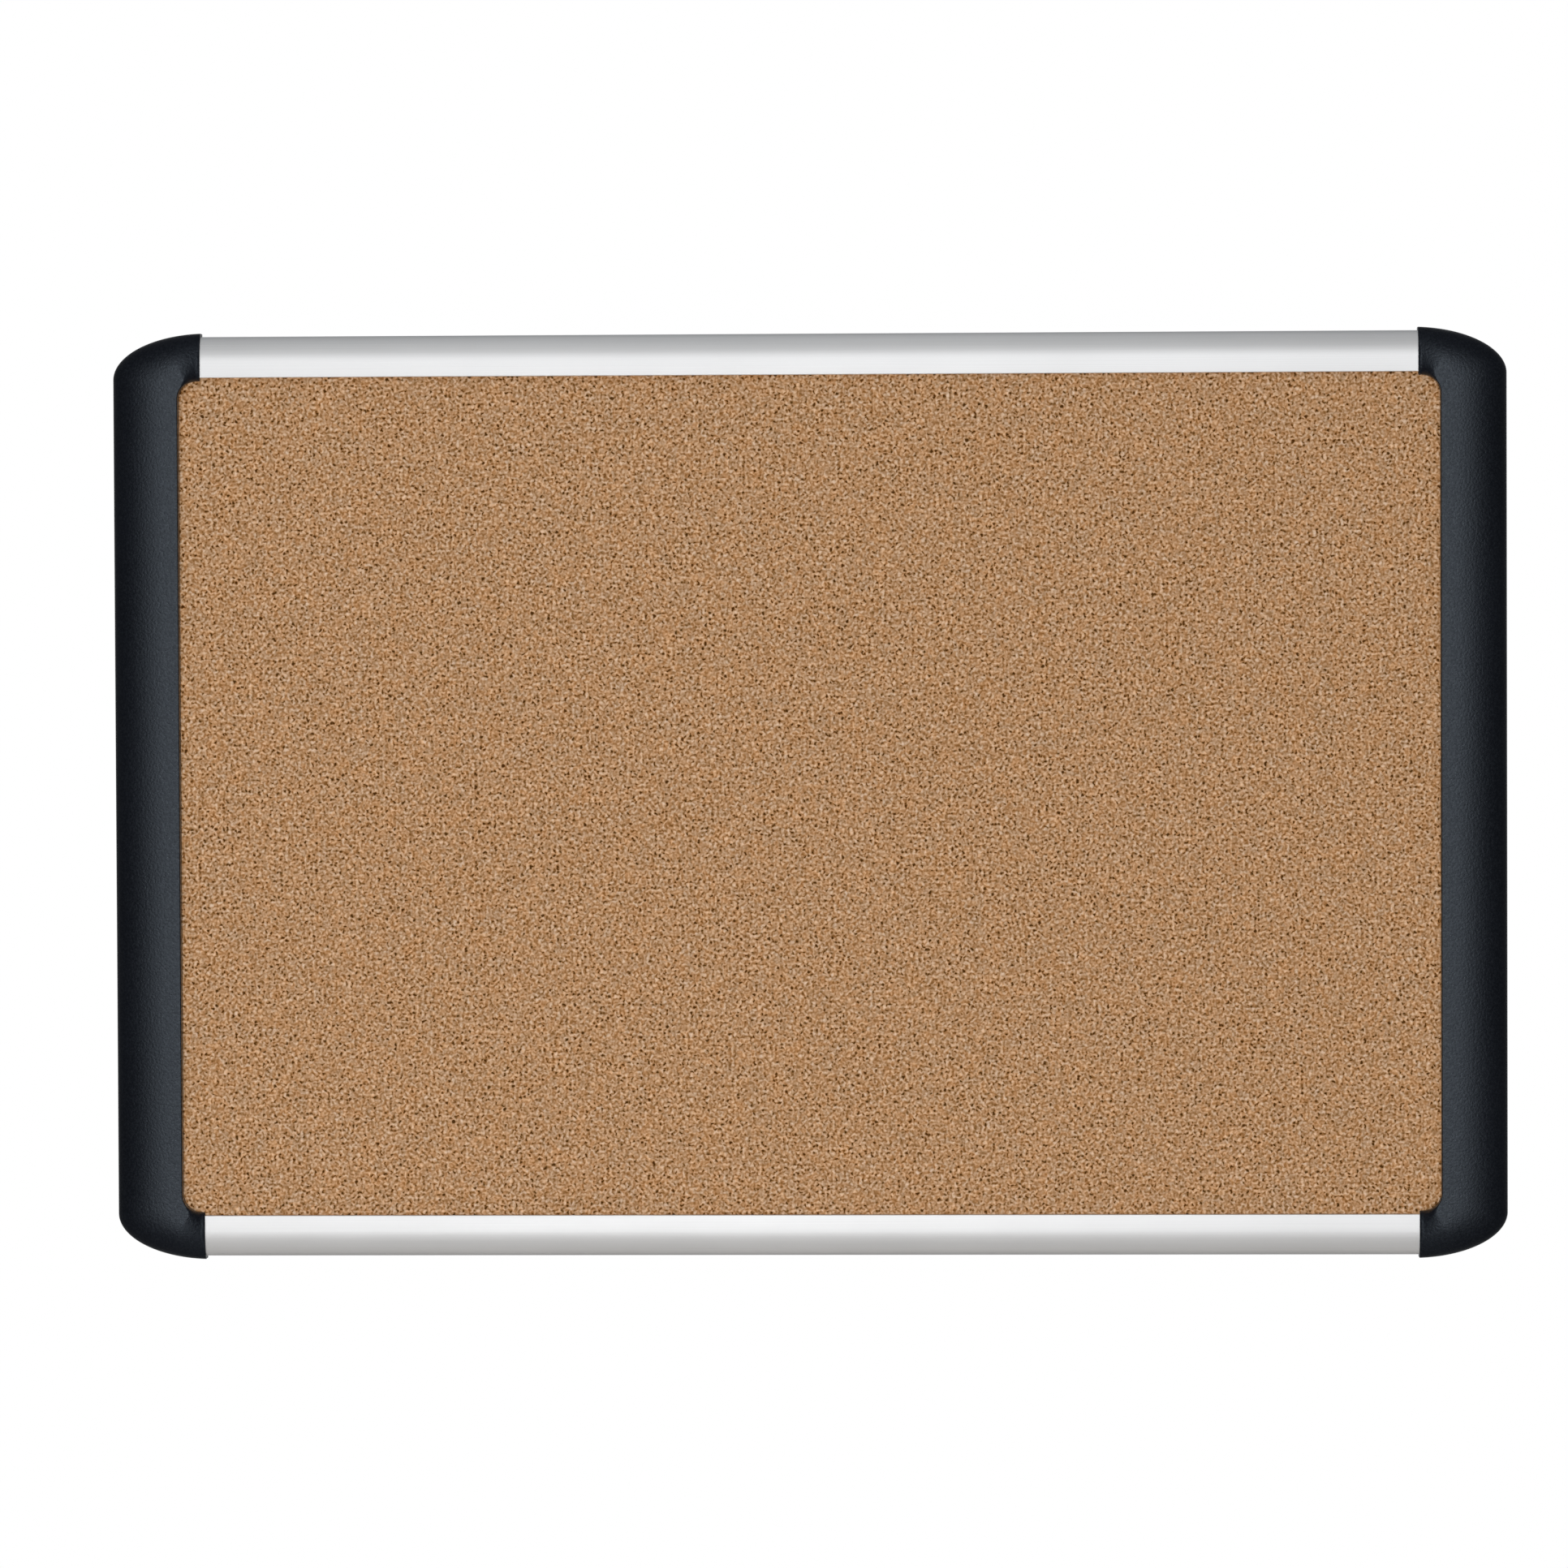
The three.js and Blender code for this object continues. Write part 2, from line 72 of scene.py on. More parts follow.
def node_box(node):
    """A CAD node's lowest and highest corner in millimetres, with z from the board's centre."""
    low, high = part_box(node)
    lift = Vector((0, 0, CENTRE_Z))
    return low / MM - lift, high / MM - lift


TOP_RAIL = node_box("top_rail")
RAIL_OUTER_Z = TOP_RAIL[1].z
RAIL_END_X = TOP_RAIL[1].x
RAIL_FACE = TOP_RAIL[1].z - TOP_RAIL[0].z
RAIL_FRONT_Y = TOP_RAIL[0].y
RAIL_WALL = 1.5
RAIL_SIDE_DEPTH = 8.5
RAIL_CROWN = 17.5
RAIL_EDGE_RADIUS = 0.4
RAIL_ARRIS = 0.3
RAIL_REAR_LEG_IN = 26
HANG_SLOT = {"from": 1.5, "to": 18.5, "open_from": 3.5, "open_to": 16.5, "lip": 1.5, "floor": 7.5}
PANEL_SLOT = {"front_y": -16.5, "rear_y": -2, "in": 20}

COVER_ARM = 58.25
COVER_WIDTH = 44
COVER_LAP = 2.25
COVER_EDGE_Y = -10
COVER_LIP_Y = -16.375
COVER_END_RADIUS = 0.6
ARM_END_DRAFT = 0.5
ARM_END_STATION = 2
ARM_DROP = 3.75
ARM_SLOPE_S = 30
ARM_SLOPE_POWER = 1.5
EARLY_TURN = 1.6  # how much sooner than the corner the arm's section turns into the side's
# Cover sizes, on an arm and on the side.
CROWN_SHARE = (0.66, 0.8)
ROUND_WIDTH = (8.5, 0.75)
ROUND_DEPTH = (4.6, 0.75)
SKIN = (3.5, 2.25)
CORNER_A = 62
CORNER_B = 30.5
CORNER_INNER_RADIUS = 12
FIT_GAP = 0.25
PANEL_GAP = 0.5
BOARD_HALF_HEIGHT = 305
CORNER_Z = BOARD_HALF_HEIGHT - CORNER_B
ARM_INNER_Z = RAIL_OUTER_Z - RAIL_FACE - COVER_LAP
PIVOT = Vector((COVER_WIDTH + CORNER_INNER_RADIUS, ARM_INNER_Z - CORNER_INNER_RADIUS))
RIB_THICKNESS = 1.75
RIB_REAR_Y = -3.75
RIB_ZS = (-238.5, -143.5, -48.5, 46.5, 141.5, 236.5)
BOSS_RADIUS = 4
PILOT_RADIUS = 2
PILOT_DEPTH_Y = -16
KEY_SCREW_S = 24
KEY_SCREW_ZS = (272, 246)
KEY_FRONT_Y = -3.5
CLIP_ZS = (-190, 0, 190)
CLIP_SEAT_Y = -2.25
CUT_PAST = 1  # how far a cutting solid runs past the surface it cuts

# Steel parts. The corner key's sizes are taken in from the board's side or from the rail's outer side.
KEY = {
    "leg_from": 30.5,
    "leg_to": 17.5,
    "low_edge": 18.25,
    "leg_corner": 3,
    "heel_rise": 3.5,
    "shoulder_drop": 4.75,
    "shoulder_run": 19.5,
    "tip_cut": 2,
    "grub_s": 72,
    "thickness": 2,
    "edge": 0.25,
}
CLIP = {"corner": 3, "thickness": 1, "edge": 0.2}
HANGER = {"corner": 1.5, "head_radius": 4.25, "neck_radius": 2.25, "head_z": -2.25, "neck_z": 3, "edge": 0.25}
SCREW_HOLE_RADIUS = 2.25
SCREW = {
    "root_radius": 1.4,
    "root_y": -0.2,
    "edge": ((3.3, 0), (3.45, 0.06), (3.5, 0.2), (3.5, 0.45), (3.4, 0.62)),
    "dome_rise": 0.5,
    "flat_radius": 0.9,
    "head_height": 1.125,
    "recess_length": 1.75,
    "recess_width": 0.42,
    "recess_floor": 0.1,
    "recess_top": 1.5,
    "shank_radius": 1.9,
    "thread_depth": 0.35,
    "pitch": 1.3,
    "point_y": -12.0,
    "shank_top": -0.05,
    "taper": 2.5,
}
GRUB = {"front": -7.5, "rear": -1.75, "radius": 1.9, "point": 0.9, "rear_radius": 1.65}
GRUB_SOCKET = {"radius": 1.05, "depth": 1.8}

# Facets of the fine surfaces.
COVER_STEPS = 52
CAVITY_STEPS = 24
CROWN_STEPS = 28
ROUND_STEPS = 10
CAVITY_CROWN_STEPS = 12
RAIL_CROWN_STEPS = 24

# ---- Camera, lights and floor ----
CAMERA_X = 0.1147
CAMERA_RISE = 0.1063  # above the board's centre
CAMERA_DISTANCE = 4.1
CAMERA_YAW = 1.8375  # degrees, to the left
CAMERA_PITCH = -1.385
CAMERA_ROLL = 0.24
CAMERA_LENS = 143.07
CAMERA_SENSOR = 36
CAMERA_REACH = 50
FLOOR_DROP = 1.0  # below the board
FLOOR_RADIUS = 4
FLOOR_SEGMENTS = 96
FLOOR_GLOW = 0.75
# Each glow of the studio's walls: strength, then its middle and reach across and up, as direction cosines.
WORLD_SOFTBOX = (1.9, -0.03, 0.06, 0.29, 0.32)
WORLD_HALO = (0.14, 0, -0.2, 0.42, 0.85)
WORLD_REAR = (0.6, 0, 0, 0.55, 0.55)
WORLD_AMBIENT = 0.05
# Each lamp: azimuth and elevation from straight ahead, distance, diameter, level and colour.
STUDIO_LIGHTS = {
    "front": (-4, -8, 4.2, 1.0, 0.415, (1.0, 0.98, 0.95)),
    "upper_front": (-12, 52, 3.8, 1.6, 0.215, (0.96, 0.98, 1.0)),
    "lower_front": (-12, -34, 2.8, 1.1, 0.13, (1.0, 0.95, 0.88)),
    "below": (0, -78, 2.6, 1.2, 0.16, (1.0, 0.92, 0.84)),
    "overhead": (0, 82, 2.6, 1.2, 0.18, (0.94, 0.97, 1.0)),
    "rear": (165, 6, 3.2, 1.4, 0.75, (1.0, 1.0, 1.0)),
}


# ---- Mesh helpers ----
def mesh_object(name, mesh):
    obj = bpy.data.objects.new(name, mesh)
    SCENE.collection.objects.link(obj)
    return obj


def finished(name, mesh, sharp_degrees=32):
    """An object for a mesh given in millimetres round the board's centre, smooth but for its sharp edges."""
    mesh.transform(Matrix.Scale(MM, 4) @ Matrix.Translation((0, 0, CENTRE_Z)))
    mesh.polygons.foreach_set("use_smooth", [True] * len(mesh.polygons))
    mesh.set_sharp_from_angle(angle=math.radians(sharp_degrees))
    mesh.update()
    return mesh_object(name, mesh)


def mesh_from(points, faces):
    mesh = bpy.data.meshes.new("shape")
    mesh.from_pydata([tuple(p) for p in points], [], faces)
    built = bmesh.new()
    built.from_mesh(mesh)
    bmesh.ops.recalc_face_normals(built, faces=built.faces)
    built.to_mesh(mesh)
    built.free()
    return mesh


def box_mesh(low, high):
    corners = [(x, y, z) for x in (low[0], high[0]) for y in (low[1], high[1]) for z in (low[2], high[2])]
    faces = [(0, 1, 3, 2), (4, 6, 7, 5), (0, 4, 5, 1), (2, 3, 7, 6), (0, 2, 6, 4), (1, 5, 7, 3)]
    return mesh_from(corners, faces)


def cylinder_mesh(radius, y0, y1, x, z, segments=32):
    turns = [2 * math.pi * i / segments for i in range(segments)]
    ring = [(x + radius * math.cos(a), z + radius * math.sin(a)) for a in turns]
    points = [(u, y0, v) for u, v in ring] + [(u, y1, v) for u, v in ring]
    faces = [(i, (i + 1) % segments, segments + (i + 1) % segments, segments + i) for i in range(segments)]
    faces += [tuple(range(segments))[::-1], tuple(range(segments, 2 * segments))]
    return mesh_from(points, faces)


def loft_mesh(loops):
    """Joins equal closed loops of points into a solid with a flat cap at each end."""
    count = len(loops[0])
    points = [p for loop in loops for p in loop]
    faces = []
    for i in range(len(loops) - 1):
        for j in range(count):
            a, b = i * count + j, i * count + (j + 1) % count
            faces.append((a, b, b + count, a + count))
    faces += [tuple(range(count))[::-1], tuple(range(len(points) - count, len(points)))]
    return mesh_from(points, faces)


def combined(target, cutters, operation):
    """A mesh joined with, or cut by, each of the cutter meshes."""
    host = mesh_object("boolean_host", target)
    used = []
    for cutter in cutters:
        tool = mesh_object("boolean_tool", cutter)
        used.append(tool)
        modifier = host.modifiers.new("boolean", "BOOLEAN")
        modifier.operation = operation
        modifier.solver = "MANIFOLD"
        modifier.object = tool
    result = bpy.data.meshes.new_from_object(host.evaluated_get(bpy.context.evaluated_depsgraph_get()))
    for obj in (host, *used):
        bpy.data.objects.remove(obj)
    return result


def extruded(loops, half_depth, bevel=0.0, bevel_steps=2):
    """Closed (u, v) loops, the first the outline and the rest holes, extruded both ways along w."""
    curve = bpy.data.curves.new("outline", "CURVE")
    curve.dimensions = "2D"
    curve.fill_mode = "BOTH"
    curve.extrude = half_depth - bevel
    curve.bevel_depth = bevel
    curve.bevel_resolution = bevel_steps
    curve.offset = -bevel
    for loop in loops:
        spline = curve.splines.new("POLY")
        spline.points.add(len(loop) - 1)
        for point, (u, v) in zip(spline.points, loop):
            point.co = (u, v, 0, 1)
        spline.use_cyclic_u = True
    host = mesh_object("outline_host", curve)
    mesh = bpy.data.meshes.new_from_object(host.evaluated_get(bpy.context.evaluated_depsgraph_get()))
    bpy.data.objects.remove(host)
    welded = bmesh.new()
    welded.from_mesh(mesh)
    bmesh.ops.remove_doubles(welded, verts=welded.verts, dist=1e-4)
    bmesh.ops.recalc_face_normals(welded, faces=welded.faces)
    welded.to_mesh(mesh)
    welded.free()
    return mesh


def plate_mesh(loops, rear_y, thickness, bevel):
    """(x, z) loops as a plate with softened edges and its rear face at rear_y."""
    mesh = extruded(loops, thickness / 2, bevel)
    mesh.transform(Matrix.Translation((0, rear_y - thickness / 2, 0)) @ Matrix.Rotation(math.pi / 2, 4, "X"))
    return mesh


def arc(cx, cy, rx, ry, start, end, steps):
    """Points on an ellipse's arc, with the angles in degrees."""
    angles = [math.radians(start + (end - start) * i / steps) for i in range(steps + 1)]
    return [(cx + rx * math.cos(a), cy + ry * math.sin(a)) for a in angles]


def softened(points, radius, steps=3):
    """A closed outline with every corner rounded, by less where its sides are short."""
    out = []
    count = len(points)
    for i, corner in enumerate(points):
        here = Vector(corner)
        before = Vector(points[i - 1]) - here
        after = Vector(points[(i + 1) % count]) - here
        turn = math.pi - before.angle(after, math.pi)
        if turn < math.radians(25):
            out.append(tuple(here))
            continue
        reach = min(radius * math.tan(turn / 2), before.length * 0.4, after.length * 0.4)
        start = here + before.normalized() * reach
        end = here + after.normalized() * reach
        for k in range(steps + 1):
            t = k / steps
            out.append(tuple(start * (1 - t) ** 2 + here * 2 * t * (1 - t) + end * t * t))
    return out


def rounded_rectangle(half_w, half_h, radius, cx=0.0, cz=0.0):
    corners = [(1, -1, -90), (1, 1, 0), (-1, 1, 90), (-1, -1, 180)]
    out = []
    for sx, sz, start in corners:
        x, z = cx + sx * (half_w - radius), cz + sz * (half_h - radius)
        out += arc(x, z, radius, radius, start, start + 90, 6)
    return out


def turned(mesh, flip_x, flip_z):
    """A copy of a mesh for another corner: turned over about Y, or mirrored."""
    copy = mesh.copy()
    copy.transform(Matrix.Diagonal((-1 if flip_x else 1, 1, -1 if flip_z else 1, 1)))
    if flip_x != flip_z:
        copy.flip_normals()
    return copy


# ---- Rails ----
def rail_face(gap):
    """The rail's face in (y, z), from its outer side round the crown to the edge by the cork."""
    outer = RAIL_OUTER_Z + gap
    front = RAIL_FRONT_Y - gap
    inner = RAIL_OUTER_Z - RAIL_FACE - gap
    crown_z = RAIL_OUTER_Z - RAIL_CROWN
    depth = -RAIL_SIDE_DEPTH - front
    points = arc(-RAIL_SIDE_DEPTH, crown_z, depth, outer - crown_z, 90, 180, RAIL_CROWN_STEPS)
    r = RAIL_EDGE_RADIUS
    points += arc(front + r, inner + r, r, r, 180, 270, 6)
    return points


def rail_mesh():
    def at(inward):
        return RAIL_OUTER_Z - inward

    slot = HANG_SLOT
    rear = [
        (PANEL_SLOT["front_y"], at(RAIL_FACE)),
        (PANEL_SLOT["front_y"], at(PANEL_SLOT["in"])),
        (PANEL_SLOT["rear_y"], at(PANEL_SLOT["in"])),
        (PANEL_SLOT["rear_y"], at(RAIL_REAR_LEG_IN)),
        (0, at(RAIL_REAR_LEG_IN)),
        (0, at(slot["open_to"])),
        (-slot["lip"], at(slot["open_to"])),
        (-slot["lip"], at(slot["to"])),
        (-slot["floor"], at(slot["to"])),
        (-slot["floor"], at(slot["from"])),
        (-slot["lip"], at(slot["from"])),
        (-slot["lip"], at(slot["open_from"])),
        (0, at(slot["open_from"])),
        (0, at(0)),
    ]
    outline = softened(rail_face(0) + rear, RAIL_ARRIS)

    chamber_rear = -slot["floor"] - RAIL_WALL
    depth = -RAIL_FRONT_Y - RAIL_SIDE_DEPTH - RAIL_WALL
    start = 90 + math.degrees(math.asin((-chamber_rear - RAIL_SIDE_DEPTH) / depth))
    chamber = arc(-RAIL_SIDE_DEPTH, at(RAIL_CROWN), depth, RAIL_CROWN - RAIL_WALL, start, 180, 16)
    chamber += [(RAIL_FRONT_Y + RAIL_WALL, at(slot["to"])), (chamber_rear, at(slot["to"]))]
    mesh = extruded([outline, chamber], RAIL_END_X)
    along_x = Matrix(((0, 0, 1, 0), (1, 0, 0, 0), (0, 1, 0, 0), (0, 0, 0, 1)))
    mesh.transform(along_x)
    return mesh


def rail_space(x0, x1):
    """The rail's space in a cover's arm, with the fitting gap all round."""
    outline = rail_face(FIT_GAP)
    outline += [(CUT_PAST, RAIL_OUTER_Z - RAIL_FACE - FIT_GAP), (CUT_PAST, RAIL_OUTER_Z + FIT_GAP)]
    return loft_mesh([[(x, y, z) for y, z in outline] for x in (x0, x1)])


# ---- Side covers, drawn as the right one ----
def cover_stations(steps):
    """Lines across the cover from the top arm's end round to the side, as (outer, inner, turn)."""
    def on_ellipse(s):
        a = math.acos(1 - s / CORNER_A)
        return Vector((s, CORNER_Z + CORNER_B * math.sin(a)))

    outers = [on_ellipse(COVER_ARM - back) for back in (0, COVER_END_RADIUS, ARM_END_STATION)]
    sweep = math.acos(1 - PIVOT.x / CORNER_A)
    for i in range(steps, -1, -1):
        outers.append(on_ellipse(CORNER_A * (1 - math.cos(sweep * i / steps))))
    outers += [Vector((0, PIVOT.y + (CORNER_Z - PIVOT.y) * f)) for f in (0.75, 0.5, 0.25, 0)]
    stations = []
    for outer in outers:
        if outer.x >= PIVOT.x - 1e-6:
            stations.append((outer, Vector((outer.x, ARM_INNER_Z)), 0.0))
            continue
        ray = (outer - PIVOT).normalized()
        turn = 1 - math.atan2(ray.y, -ray.x) / (math.pi / 2)
        stations.append((outer, PIVOT + ray * CORNER_INNER_RADIUS, turn))
    return stations


def cover_sizes(station):
    """A cover's sizes at a station, which pass from an arm's to the side's as it turns the corner."""
    outer, inner, turn = station

    def between(sizes, t):
        return sizes[0] + (sizes[1] - sizes[0]) * t * t * (3 - 2 * t)

    early = min(1.0, turn * EARLY_TURN)
    slope = min(1.0, max(0.0, (outer.x - ARM_SLOPE_S) / (COVER_ARM - ARM_SLOPE_S)))
    return {
        "length": (outer - inner).length,
        "crest_y": CREST_Y + ARM_DROP * slope**ARM_SLOPE_POWER,
        "crown": between(CROWN_SHARE, turn),
        "round_width": between(ROUND_WIDTH, early),
        "round_depth": between(ROUND_DEPTH, early),
        "skin": between(SKIN, early),
    }


def quarter(steps):
    return [math.pi / 2 * i / steps for i in range(steps + 1)]


def cover_profile(station):
    """A cover's cross-section, as (share of the way from the outer to the inner outline, y)."""
    size = cover_sizes(station)
    crest = size["crest_y"]
    share = size["round_width"] / size["length"]
    points = [(0, 0)]
    points += [
        (size["crown"] * (1 - math.cos(a)), COVER_EDGE_Y + (crest - COVER_EDGE_Y) * math.sin(a))
        for a in quarter(CROWN_STEPS)
    ]
    points += [
        (1 - share * (1 - math.sin(a)), crest + size["round_depth"] * (1 - math.cos(a)))
        for a in quarter(ROUND_STEPS)
    ]
    points.append((1, 0))
    return points


def cavity_profile(station):
    """The hollow behind the skin, which is thicker on the arms, where the rail's space is cut out."""
    size = cover_sizes(station)
    front = size["crest_y"] + size["skin"]
    share = size["skin"] / size["length"]
    width, depth = size["crown"] - share, front - COVER_EDGE_Y
    points = [(share, CUT_PAST)]
    points += [
        (share + width * (1 - math.cos(a)), COVER_EDGE_Y + depth * math.sin(a))
        for a in quarter(CAVITY_CROWN_STEPS)
    ]
    points += [(1 - share, front), (1 - share, CUT_PAST)]
    return points


def cover_loft(profile, steps, overrun=0):
    """A profile's loops round the whole cover, with the arms longer at their ends by overrun."""
    top = cover_stations(steps)
    for point in top[0][:2]:
        point.x += overrun
    bottom = [(Vector((o.x, -o.y)), Vector((i.x, -i.y)), t) for o, i, t in reversed(top)]
    loops = []
    for station in top + bottom:
        outer, inner, _ = station
        loop = []
        for share, y in profile(station):
            p = outer.lerp(inner, share)
            loop.append((HALF_W - p.x, y, p.y))
        loops.append(loop)
    return loops


def soften_arm_ends(loops):
    """Draws an arm's last loop in a little and leans its end back to the wall, as a mould's draft does."""
    inset = COVER_END_RADIUS * 0.7
    for loop in (loops[0], loops[-1]):
        zs = [p[2] for p in loop]
        middle = (max(zs) + min(zs)) / 2
        reach = (max(zs) - min(zs)) / 2
        for i, (x, y, z) in enumerate(loop):
            across = (z - middle) / reach
            depth = y / CREST_Y
            drawn_in = inset * depth * (1 - abs(across) ** 4)
            loop[i] = (x + ARM_END_DRAFT * (1 - depth), y + drawn_in, z - inset * across)
    return loops


def cover_mesh():
    shape = loft_mesh(soften_arm_ends(cover_loft(cover_profile, COVER_STEPS)))
    hollow = loft_mesh(cover_loft(cavity_profile, CAVITY_STEPS, CUT_PAST))
    cover = combined(shape.copy(), [hollow], "DIFFERENCE")

    side = HALF_W - COVER_WIDTH
    stop_x = RAIL_END_X + FIT_GAP
    inside = [box_mesh((side, CREST_Y, z), (HALF_W, RIB_REAR_Y, z + RIB_THICKNESS)) for z in RIB_ZS]
    for sign in (-1, 1):
        low, high = sorted((sign * ARM_INNER_Z, sign * BOARD_HALF_HEIGHT))
        inside.append(box_mesh((stop_x, CREST_Y, low), (stop_x + RIB_THICKNESS, RIB_REAR_Y, high)))
    seats = [(z, CLIP_SEAT_Y) for z in CLIP_ZS]
    seats += [(sign * z, KEY_FRONT_Y) for z in KEY_SCREW_ZS for sign in (-1, 1)]
    boss_x = HALF_W - KEY_SCREW_S
    for z, rear_y in seats:
        inside.append(cylinder_mesh(BOSS_RADIUS, CREST_Y, rear_y, boss_x, z))
    for piece in inside:
        trimmed = combined(piece, [shape.copy()], "INTERSECT")
        cover = combined(cover, [trimmed], "UNION")

    panel = node_box("cork_sheet")
    panel_space = box_mesh(
        (0, COVER_LIP_Y, panel[0].z - PANEL_GAP), (panel[1].x + PANEL_GAP, CUT_PAST, panel[1].z + PANEL_GAP)
    )
    top_space = rail_space(0, stop_x)
    bottom_space = turned(top_space, False, True)
    pilots = [cylinder_mesh(PILOT_RADIUS, PILOT_DEPTH_Y, CUT_PAST, boss_x, z, 24) for z, _ in seats]
    return combined(cover, [panel_space, top_space, bottom_space, *pilots], "DIFFERENCE")


# ---- Panel layers ----
def sheet_mesh(node, pitch, relief, edge, seed=0.0):
    """A CAD layer as a closed slab with soft edges, its two faces uneven by up to relief, in millimetres."""
    low, high = node_box(node)
    xs = [low.x, low.x + edge]
    zs = [low.z, low.z + edge]
    for values, end in ((xs, high.x), (zs, high.z)):
        count = max(1, round((end - edge - values[-1]) / pitch))
        step = (end - edge - values[-1]) / count
        values += [values[-1] + step * (k + 1) for k in range(count)] + [end]
    nx, nz = len(xs), len(zs)
    points = []
    for y, inward in ((low.y, 1), (high.y, -1)):
        for i, x in enumerate(xs):
            for k, z in enumerate(zs):
                on_rim = i in (0, nx - 1) or k in (0, nz - 1)
                wave = noise.noise(Vector((x * 0.02 + seed, y, z * 0.02))) * 0.5 + 0.5
                points.append((x, y + inward * (edge if on_rim else relief * wave), z))
    faces = []
    for side in (0, nx * nz):
        for i in range(nx - 1):
            for k in range(nz - 1):
                a = side + i * nz + k
                faces.append((a, a + 1, a + nz + 1, a + nz))
    rim = [i * nz for i in range(nx)] + [(nx - 1) * nz + k for k in range(1, nz)]
    rim += [i * nz + nz - 1 for i in range(nx - 2, -1, -1)] + list(range(nz - 2, 0, -1))
    for a, b in zip(rim, rim[1:] + rim[:1]):
        faces.append((a, b, b + nx * nz, a + nx * nz))
    return mesh_from(points, faces)


# ---- Steel parts ----
def screw_hole(x, z):
    return arc(x, z, SCREW_HOLE_RADIUS, SCREW_HOLE_RADIUS, 360, 15, 23)


def key_loops():
    """The corner key for the top right corner: its outline and its holes, in (x, z)."""
    low, high = node_box("corner_key_top_right")
    leg_x = (HALF_W - KEY["leg_from"], HALF_W - KEY["leg_to"])
    low_z = RAIL_OUTER_Z - KEY["low_edge"]
    r = KEY["leg_corner"]
    outline = [
        (low.x, low_z),
        (leg_x[0], low_z),
        *arc(leg_x[0] + r, low.z + r, r, r, 180, 270, 6),
        *arc(leg_x[1] - r, low.z + r, r, r, 270, 360, 6),
        (leg_x[1], low_z + KEY["heel_rise"]),
        (leg_x[0], high.z - KEY["shoulder_drop"]),
        (leg_x[0] - KEY["shoulder_run"], high.z),
        (low.x + KEY["tip_cut"], high.z),
        (low.x, high.z - KEY["tip_cut"]),
    ]
    holes = [screw_hole(HALF_W - KEY_SCREW_S, z) for z in KEY_SCREW_ZS]
    holes.append(screw_hole(HALF_W - KEY["grub_s"], (high.z + low_z) / 2))
    return [outline, *holes]


def plate_outline(low, high, corner):
    """A rounded rectangle that fills a node's box, in (x, z)."""
    return rounded_rectangle(
        (high.x - low.x) / 2, (high.z - low.z) / 2, corner, (low.x + high.x) / 2, (low.z + high.z) / 2
    )


def clip_loops(side, sign):
    low, high = node_box(f"panel_clip_{side}_2")
    return [plate_outline(low, high, CLIP["corner"]), screw_hole(sign * (HALF_W - KEY_SCREW_S), 0)]


def hanger_loops(node):
    low, high = node_box(node)
    cx, cz = (low.x + high.x) / 2, (low.z + high.z) / 2
    head, neck = HANGER["head_radius"], HANGER["neck_radius"]
    join = math.degrees(math.asin(neck / head))
    keyhole = arc(cx, cz + HANGER["neck_z"], neck, neck, 0, 180, 16)
    keyhole += arc(cx, cz + HANGER["head_z"], head, head, 90 + join, 450 - join, 36)
    return [plate_outline(low, high, HANGER["corner"]), keyhole[::-1]]


def spun(profile, segments):
    """A closed solid turned about the Y axis from (radius, y) points that start and end on it."""
    rings = profile[1:-1]
    points = [(0, profile[0][1], 0), (0, profile[-1][1], 0)]
    for r, y in rings:
        points += [
            (r * math.cos(2 * math.pi * k / segments), y, r * math.sin(2 * math.pi * k / segments))
            for k in range(segments)
        ]
    faces = []
    for k in range(segments):
        n = (k + 1) % segments
        faces.append((0, 2 + k, 2 + n))
        last = 2 + (len(rings) - 1) * segments
        faces.append((1, last + n, last + k))
        for i in range(len(rings) - 1):
            a = 2 + i * segments
            faces.append((a + k, a + segments + k, a + segments + n, a + n))
    return mesh_from(points, faces)


def threaded_shank(segments=20):
    """A screw's shank with a helical thread that fades out under the head, as loops along Y."""
    pitch, depth = SCREW["pitch"], SCREW["thread_depth"]
    point_y, top_y = SCREW["point_y"], SCREW["shank_top"]
    point_radius, thread_end, fade_length = 0.35, 1.2, 0.6
    core = SCREW["shank_radius"] - depth
    steps = round((top_y - point_y) / (pitch / 6))
    loops = []
    for i in range(steps + 1):
        y = point_y + (top_y - point_y) * i / steps
        near_point = min(1.0, (y - point_y) / SCREW["taper"])
        fade = min(1.0, max(0.0, (top_y - thread_end - y) / fade_length))
        loop = []
        for k in range(segments):
            turn = k / segments
            ridge = max(0.0, 1 - abs((y / pitch - turn) % 1.0 - 0.5) * 4)
            r = point_radius + (core - point_radius) * near_point + depth * ridge * near_point * fade
            loop.append((r * math.cos(2 * math.pi * turn), y, r * math.sin(2 * math.pi * turn)))
        loops.append(loop)
    return loft_mesh(loops)


